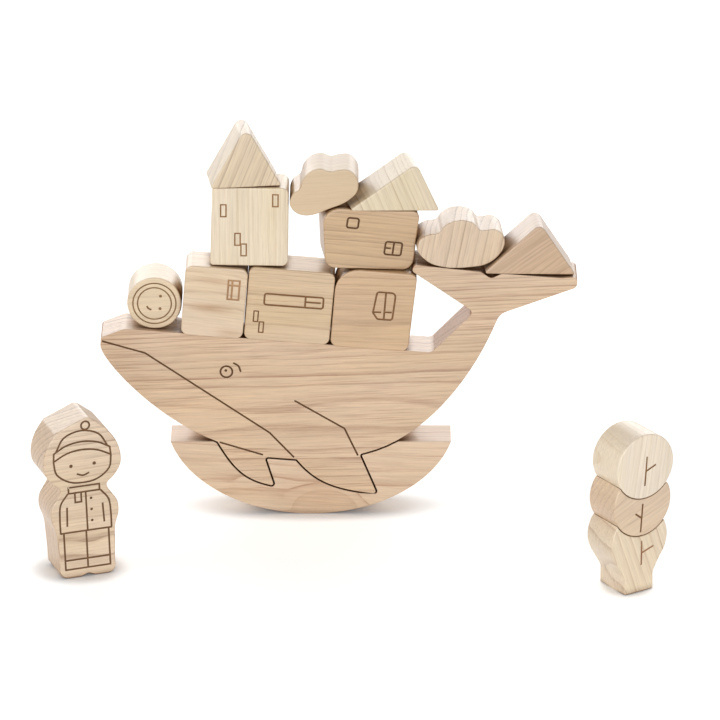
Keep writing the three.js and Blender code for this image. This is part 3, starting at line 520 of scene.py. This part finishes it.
# %% Mix the colours
HAIRS = (18.0, 0.7, 2.0)
LINES = (42.0, 0.85, 1.0)
FIBRES = (60.0, 1.7, 3.0)
CLOUDS = (110.0, 30.0, 1.0)
LINE_EDGE = (0.54, 0.72)
TINT_EDGE = (0.35, 0.65)
CLOUD_TONE = (0.9, 1.1)
FIGURE = 0.15
PORE_CONTRAST = 0.4
PORE_LEAST = 0.1
PORE_SHADE = 0.8
END_CONTRAST = 1.5
YELLOW_TINT = (1.0, 0.985, 0.91, 1.0)
END_GRAIN_SHADE = (0.93, 0.89, 0.86, 1.0)
# the darkening of a patch: a stain in the left house's board, painted shade on the rocker's lower middle
STAIN_AND_PAINTED_SHADE = (0.72, 0.58, 0.45, 1.0)


def mix_colour(tree, blend, share, first, second):
    node = add_node(tree, "ShaderNodeMix", {"data_type": "RGBA", "blend_type": blend})
    for socket, value in ((0, share), (6, first), (7, second)):
        if isinstance(value, bpy.types.NodeSocket):
            tree.links.new(value, node.inputs[socket])
        else:
            node.inputs[socket].default_value = value
    return node.outputs[2]


def darker(colour, share):
    return [c * share for c in colour[:3]] + [1.0]


def fine_tone(tree, laid, seed, figure):
    """How light or dark the wood is apart from its rings, as a grey to multiply with."""
    fibres = streaks(tree, laid, FIBRES, seed + 5).outputs[0]
    clouds = streaks(tree, laid, CLOUDS, seed + 9).outputs[0]
    hairs = streaks(tree, laid, HAIRS, seed + 17).outputs[0]
    fibre_tone = stretch(tree, fibres, 0.0, 1.0, 1 - figure, 1 + figure)
    cloud_tone = stretch(tree, clouds, 0.0, 1.0, *CLOUD_TONE)
    hair_tone = stretch(tree, hairs, 0.0, 1.0, 1 - figure, 1 + figure)
    tone = math_node(tree, "MULTIPLY", math_node(tree, "MULTIPLY", fibre_tone, cloud_tone), hair_tone)
    return add_node(tree, "ShaderNodeCombineColor", _0=tone, _1=tone, _2=tone).outputs[0]


def ash_colour(tree, laid, wood, seed, porous, pores, cut_across):
    """The bare board: rings, lines and pores in two browns, then tone, tint, end grain, stained patches,
    painted shade.
    """
    pale, brown, contrast = linear(wood["pale"]), linear(wood["brown"]), wood["contrast"]
    ring_contrast = stretch(tree, cut_across, 0.0, 1.0, contrast, END_CONTRAST * contrast)
    ring_share = math_node(tree, "MULTIPLY", porous, ring_contrast)
    colour = mix_colour(tree, "MIX", ring_share, pale, brown)
    lines = stretch(tree, streaks(tree, laid, LINES, seed + 3).outputs[0], *LINE_EDGE)
    colour = mix_colour(tree, "MIX", math_node(tree, "MULTIPLY", lines, wood["streaks"]), colour, brown)
    pore_share = math_node(tree, "MULTIPLY", pores, PORE_CONTRAST * contrast + PORE_LEAST)
    colour = mix_colour(tree, "MIX", pore_share, colour, darker(brown, PORE_SHADE))
    tone = fine_tone(tree, laid, seed, wood.get("figure", FIGURE))
    colour = mix_colour(tree, "MULTIPLY", 1.0, colour, tone)
    tints = streaks(tree, laid, CLOUDS, seed + 13).outputs[0]
    colour = mix_colour(tree, "MULTIPLY", stretch(tree, tints, *TINT_EDGE), colour, YELLOW_TINT)
    colour = mix_colour(tree, "MULTIPLY", cut_across, colour, wood.get("end_shade", END_GRAIN_SHADE))
    # each patch darkens the colour: the left house's are stains, the rocker's is painted shade
    for stain_or_shade_patch in wood.get("stains_and_shade", ()):
        colour = mix_colour(tree, "MULTIPLY", local_patch(tree, laid, *stain_or_shade_patch), colour, STAIN_AND_PAINTED_SHADE)
    return colour


print("a fibre is about", FIBRES[0], "mm long and changes the tone by", FIGURE)

# %% [markdown]
# ## Seams and wax
#
# The blocks are rubbed with wax, which shines at low angles. The Principled shader has a coat for that. Two
# places hold less wax. Where the saw cut across the fibre, the open ends may drink it up. And a cloth can't
# reach into a narrow seam between two blocks, so the seam stays dull. Near the faces of the board a seam
# also gets painted shade: its colour is darkened to brown, as if it lay in shadow. The Ambient Occlusion
# node finds the seams: it asks how much of its surroundings a point sees.

# %% Find seams and end grain
RECESS_DEPTH = 11 * MM
RECESS_SAMPLES = 8
RECESS_LIGHT = (0.22, 0.74)
# painted shade: the brown that darkens the base colour in seams near the faces of the board
PAINTED_SEAM_SHADE = (0.22, 0.12, 0.06, 1.0)
SEAM_FULL = 4 * MM
SEAM_END = 13 * MM


def end_grain(tree, fibre):
    """1 where the saw cut straight across the fibre, 0 where it ran along it."""
    facing = add_node(tree, "ShaderNodeTexCoord").outputs["Normal"]
    along = add_node(tree, "ShaderNodeVectorMath", {"operation": "DOT_PRODUCT"}, _0=facing, _1=fibre)
    return math_node(tree, "POWER", math_node(tree, "ABSOLUTE", along.outputs["Value"]), 2.0)


def deep_recess(tree):
    """Near 1 in a narrow seam between blocks, near 0 on an open face."""
    settings = {"samples": RECESS_SAMPLES}
    light = add_node(tree, "ShaderNodeAmbientOcclusion", settings, Distance=RECESS_DEPTH).outputs["AO"]
    return stretch(tree, light, *RECESS_LIGHT, 1.0, 0.0)


def near_board_faces(tree, middle, yaw):
    """1 along the two faces of the board, 0 deeper inside a seam."""
    place = add_node(tree, "ShaderNodeTexCoord").outputs["Object"]
    from_middle = add_node(tree, "ShaderNodeVectorMath", {"operation": "SUBTRACT"}, _0=place, _1=middle)
    depth = add_node(
        tree,
        "ShaderNodeVectorMath",
        {"operation": "DOT_PRODUCT"},
        _0=from_middle.outputs[0],
        _1=(-sin(yaw), cos(yaw), 0),
    )
    off_middle = math_node(tree, "ABSOLUTE", depth.outputs["Value"])
    return stretch(tree, off_middle, BOARD / 2 - SEAM_END, BOARD / 2 - SEAM_FULL)


print("a seam is looked for within", RECESS_DEPTH / MM, "mm")

# %% Wax the ash
SEEDS = 97
RING_HOLLOW = 0.35
RELIEF_STRENGTH = 0.35
RELIEF_DEPTH = 0.15 * MM
WOOD_ROUGHNESS = 0.7
WAX_ROUGHNESS = 0.33
WAX_IOR = 1.9


def ash(name, middle, yaw, wood):
    material = new_material(name)
    tree = material.node_tree
    seed = float(sum(ord(letter) for letter in name) % SEEDS)
    grain = radians(wood["grain"])
    laid = lie_in_trunk(tree, middle, yaw, grain, radians(wood["lean"]))
    porous, pores = porous_grain(tree, laid, wood, seed)
    cut_across = end_grain(tree, (cos(grain) * cos(yaw), cos(grain) * sin(yaw), sin(grain)))
    colour = ash_colour(tree, laid, wood, seed, porous, pores, cut_across)
    recess = deep_recess(tree)
    # painted shade mask: 1 in a seam near the faces of the board, where the colour is darkened to brown
    seam = math_node(tree, "MULTIPLY", recess, near_board_faces(tree, middle, yaw))
    face_wax = wood.get("wax", 1.0)
    kept_wax = stretch(tree, cut_across, 0.0, 1.0, face_wax, wood.get("end_wax", face_wax))
    hollow = math_node(tree, "ADD", pores, math_node(tree, "MULTIPLY", porous, RING_HOLLOW))
    relief = add_node(
        tree,
        "ShaderNodeBump",
        {"invert": True},
        Strength=RELIEF_STRENGTH,
        Distance=RELIEF_DEPTH,
        Height=hollow,
    )
    surface = add_node(
        tree,
        "ShaderNodeBsdfPrincipled",
        Base_Color=mix_colour(tree, "MULTIPLY", seam, colour, PAINTED_SEAM_SHADE),
        Normal=relief.outputs[0],
        Roughness=WOOD_ROUGHNESS,
        Specular_IOR_Level=0.0,
        Coat_Weight=math_node(tree, "MULTIPLY", math_node(tree, "SUBTRACT", 1.0, recess), kept_wax),
        Coat_Roughness=WAX_ROUGHNESS,
        Coat_IOR=WAX_IOR,
        Coat_Normal=relief.outputs[0],
    )
    add_node(tree, "ShaderNodeOutputMaterial", Surface=surface.outputs[0])
    return material


print("the wax bends light by", WAX_IOR)

# %% [markdown]
# ## Burnt lines
#
# The drawings are burnt into the wood, so a line is a shallow groove with brown walls. Painting a line on
# the face would look flat from the side. The groove is already in the solid, and its finish only needs
# to be brown, uneven like scorched fibre, and dull.

# %% Scorch the lines
SCORCH_PATCH = 3.2 * MM
SCORCH_DETAIL = 3.0
SCORCH_ROUGHNESS = 0.85
CHAR = 0.55


def scorched(name, colour):
    material = new_material(name)
    tree = material.node_tree
    place = add_node(tree, "ShaderNodeTexCoord").outputs["Object"]
    patches = add_node(
        tree,
        "ShaderNodeTexNoise",
        Vector=place,
        Scale=1 / SCORCH_PATCH,
        Detail=SCORCH_DETAIL,
    )
    brown = linear(colour)
    shade = mix_colour(tree, "MIX", patches.outputs[0], brown, darker(brown, CHAR))
    surface = add_node(tree, "ShaderNodeBsdfPrincipled", Base_Color=shade, Roughness=SCORCH_ROUGHNESS)
    add_node(tree, "ShaderNodeOutputMaterial", Surface=surface.outputs[0])
    return material


print("scorched patches are about", SCORCH_PATCH / MM, "mm wide")

# %% [markdown]
# ## Boards of the whole game
#
# Each piece was sawn from another stretch of board, so each has its own grain and tint. The angles are
# those of the stripes on the front, counter-clockwise from level. A lean near 0 gives straight stripes
# that run through to the back, and a lean near 90 gives a calm face with close lines along the sides.
# Rings, hearts, waves and patches are in millimetres. A stain, a patch of painted shade or a swelling is a
# patch: its place along and across the grain, its half length and half height, and its strength. The left
# house's patches are stains in its board, and the rocker's is painted shade that darkens its lower middle.

# %% Choose a board for each piece
STRAIGHT = {"heart": 160, "wave": 0.5, "wave_length": 60, "lean": 4, "streaks": 0.2}
FLAT_SAWN = {"heart": 90, "wave": 0.7, "wave_length": 90, "lean": 70, "streaks": 0.4}

boards = {
    "whale_body": {**FLAT_SAWN, "grain": 2, "lean": 72, "ring": 3.2, "wave": 1.2, "wave_length": 170,
                   "pale": "#e0c2a2", "brown": "#925b35", "contrast": 0.9, "streaks": 0.42,
                   "end_shade": (0.62, 0.4, 0.28, 1.0), "end_wax": 0.0},
    "rocker_base": {**FLAT_SAWN, "grain": -3, "lean": 82, "ring": 3.4, "wave": 1.0, "heart": 70,
                    # the rocker's patch is painted shade: it darkens the lower middle of the rocker
                    "swellings": [(12, -16, 34, 16, 7)], "stains_and_shade": [(8, -10, 46, 24, 0.45)],
                    "pale": "#e4c9ac", "brown": "#a87248", "contrast": 0.75, "streaks": 0.2, "wax": 0.73},
    "sun_disc": {**FLAT_SAWN, "grain": 4, "lean": 80, "ring": 4.0, "streaks": 0.25,
                 "pale": "#e8d2b5", "brown": "#cdab82", "contrast": 0.35},
    "left_house": {**FLAT_SAWN, "grain": -8, "lean": 76, "ring": 4.0, "wave": 1.1, "wave_length": 45,
                   "stains_and_shade": [(-3, -1, 26, 5, 0.9), (-2, 19, 26, 4, 0.6), (14, -17, 16, 5, 0.6)],
                   "heart": 130, "pale": "#e8d0b4", "brown": "#bd9670", "contrast": 0.7, "streaks": 0.15},
    "middle_house": {**FLAT_SAWN, "grain": -4, "lean": 68, "ring": 2.6, "wave": 0.6, "wave_length": 70,
                     "pale": "#ddc2a0", "brown": "#a0754a", "contrast": 0.7, "streaks": 0.2, "wax": 0.75},
    "right_house": {**FLAT_SAWN, "grain": -1, "lean": 74, "ring": 3.6, "wave": 0.9, "wave_length": 70,
                    "pale": "#d7b48c", "brown": "#966a3e", "contrast": 0.7, "streaks": 0.25},
    "tower_block": {**STRAIGHT, "grain": 90, "ring": 4.6, "wave": 0.3,
                    "pale": "#f0dfc5", "brown": "#cfb287", "contrast": 0.62},
    "tower_roof": {**STRAIGHT, "grain": 68, "lean": 14, "ring": 4.6,
                   "pale": "#e9d4b8", "brown": "#8f6a45", "contrast": 0.8},
    "upper_house": {**FLAT_SAWN, "grain": -8, "lean": 60, "ring": 2.6, "wave": 0.5, "wave_length": 80,
                    "pale": "#d1b089", "brown": "#8a5f38", "contrast": 0.8, "streaks": 0.3},
    "upper_roof": {**STRAIGHT, "grain": 112, "ring": 4.4,
                   "pale": "#ebdbbf", "brown": "#c2a476", "contrast": 0.8},
    "cloud_block": {**FLAT_SAWN, "grain": 4, "lean": 86.7, "ring": 2.6, "wave": 0.05, "streaks": 0.1,
                    "heart": 300, "figure": 0.04, "pale": "#dec4a4", "brown": "#a87d55", "contrast": 0.7},
    "bush_block": {**STRAIGHT, "grain": 79, "lean": 10, "ring": 5.4,
                   "pale": "#e5ccaf", "brown": "#946c45", "contrast": 0.9},
    "tail_roof": {**FLAT_SAWN, "grain": 35, "lean": 50, "ring": 2.6, "wave": 0.6, "wave_length": 50,
                  "pale": "#d0b092", "brown": "#966c45", "contrast": 0.7, "streaks": 0.2},
    "child_figure": {**FLAT_SAWN, "grain": 0, "lean": 66, "ring": 4.2, "wave": 0.5, "wave_length": 80,
                     "pale": "#ebd2b5", "brown": "#966d47", "contrast": 0.8, "streaks": 0.2,
                     "end_shade": (0.84, 0.75, 0.67, 1.0)},
    "tree_trunk": {**STRAIGHT, "grain": 110, "lean": 8, "ring": 7.6,
                   "pale": "#f3e0c7", "brown": "#ad855c", "contrast": 0.85},
    "tree_crown_middle": {**FLAT_SAWN, "grain": 24, "lean": 68, "ring": 4.6, "wave": 1.4, "wave_length": 40,
                          "pale": "#e8cdae", "brown": "#a67c55", "contrast": 0.45, "streaks": 0.15},
    "tree_crown_top": {**STRAIGHT, "grain": 82, "ring": 5.4, "wave": 0.3,
                       "pale": "#f7e7d1", "brown": "#d9bf96", "contrast": 0.6},
}
print(len(boards), "boards chosen")

# %% [markdown]
# ## Making every block
#
# The whale's fins stand flush in the rocker, so those two are sanded only a little. The loose blocks are
# meant for small hands and are rounder. A piece that stands turned on the table has its board turned
# with it.

# %% Sand, dress and seat every block
FLUSH_RIM = 0.25 * MM
HAND_RIM = 1.1 * MM
TURNED = {"tower_roof": 8, "upper_house": 7, "upper_roof": 13, "bush_block": 4, "tail_roof": 5,
          "child_figure": 20.5, "tree_trunk": 33, "tree_crown_middle": 33, "tree_crown_top": 33}
FLUSH_PIECES = ("whale_body", "rocker_base")
SCORCH = {"whale_body": "#7d5838", "left_house": "#d8ad83", "tower_block": "#c08f5c",
          "sun_disc": "#b38c60", "child_figure": "#8f6a49", "upper_house": "#7d5a3a",
          "tree_trunk": "#c99a72", "tree_crown_top": "#b58a60"}
SCORCH_DEFAULT = "#a57a52"

bodies = {node: body for body, nodes in frame["record"]["behaviour"]["bodies"].items() for node in nodes}
for node_name, wood in boards.items():
    low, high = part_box(node_name)
    yaw = radians(TURNED.get(node_name, 0))
    finish = [
        ash(node_name + "_ash", (low + high) / 2, yaw, wood),
        scorched(node_name + "_lines", SCORCH.get(node_name, SCORCH_DEFAULT)),
    ]
    rim = FLUSH_RIM if node_name in FLUSH_PIECES else HAND_RIM
    sanded_block(node_name, bodies[node_name], yaw, rim, finish)
